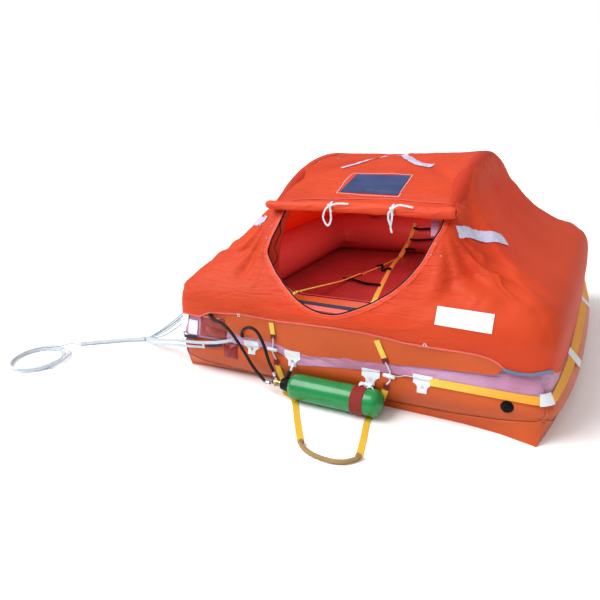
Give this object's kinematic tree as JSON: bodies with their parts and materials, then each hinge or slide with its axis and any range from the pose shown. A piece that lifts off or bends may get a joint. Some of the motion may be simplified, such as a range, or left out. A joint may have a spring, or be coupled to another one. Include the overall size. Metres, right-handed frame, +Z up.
{
  "type": "inflatable life raft with canopy",
  "caption": "Square inflatable life raft with two stacked buoyancy tubes, a tent canopy on arched bows, a gas cylinder, a boarding ladder and a lifeline.",
  "frame": {"origin": "centre of the bottom sheet's underside", "axes": "+X to the right along the entrance side seen from in front, +Y from the entrance to the rear, +Z up"},
  "size_m": [2.9841, 2.3602, 1.0826],
  "materials": {
    "tube_orange": "satin coated fabric",
    "canopy_red": "coated cloth",
    "roll_red": "coated cloth",
    "band_lilac": "matt tape",
    "floor_red": "coated cloth",
    "sheet_brown": "matt coated fabric",
    "bow_black": "matt",
    "patch_white": "matt",
    "web_yellow": "woven webbing",
    "web_white": "woven webbing",
    "cylinder_green": "gloss paint",
    "strap_red": "woven webbing",
    "pouch_red": "coated cloth",
    "rubber_black": "satin",
    "brass": "dull",
    "step_tan": "woven sleeve",
    "cord_white": "laid rope"
  },
  "bodies": {
    "root": {"lower_tube": "tube_orange", "upper_tube": "tube_orange", "tube_joining_band": "band_lilac", "bottom_sheet": "sheet_brown", "inner_floor": "floor_red", "bow_left": "bow_black", "bow_right": "bow_black", "canopy_roof": "canopy_red", "canopy_front": "canopy_red", "canopy_rear": "canopy_red", "canopy_left": "canopy_red", "canopy_right": "canopy_red", "door_roll": "roll_red", "door_tie_left": "web_white", "door_tie_right": "web_white", "bridle_strap_upper": "web_white", "bridle_strap_lower": "web_white", "gas_cylinder": "cylinder_green", "cylinder_strap": "strap_red", "cylinder_neck_cover": "rubber_black", "inflation_hose_lower": "rubber_black", "inflation_hose_upper": "rubber_black", "topping_up_valve": "rubber_black", "inner_rung_1": "rubber_black", "inner_rung_2": "rubber_black", "inner_rung_3": "rubber_black", "cylinder_valve": "brass", "cylinder_hanger": "patch_white", "lifeline_patch_1": "patch_white", "lifeline_patch_2": "patch_white", "lifeline_patch_3": "patch_white", "lifeline_patch_4": "patch_white", "corner_patch_front_right": "patch_white", "corner_patch_rear_right": "patch_white", "corner_patch_rear_left": "patch_white", "corner_patch_front_left": "patch_white", "lifeline_sleeve_right": "patch_white", "lifeline_sleeve_rear": "patch_white", "lifeline_sleeve_left": "patch_white", "ladder_toggle_left": "patch_white", "ladder_toggle_right": "patch_white", "lifeline": "web_yellow", "ladder_strap_left": "web_yellow", "ladder_strap_right": "web_yellow", "ladder_loop_left": "web_yellow", "ladder_loop_right": "web_yellow", "step_knot_left": "web_yellow", "step_knot_right": "web_yellow", "inner_strap_left": "web_yellow", "inner_strap_right": "web_yellow", "inlet_pocket": "pouch_red", "tool_pouch": "pouch_red", "boarding_step": "step_tan", "painter_line": "cord_white", "painter_coil": "cord_white"}
  },
  "joints": []
}
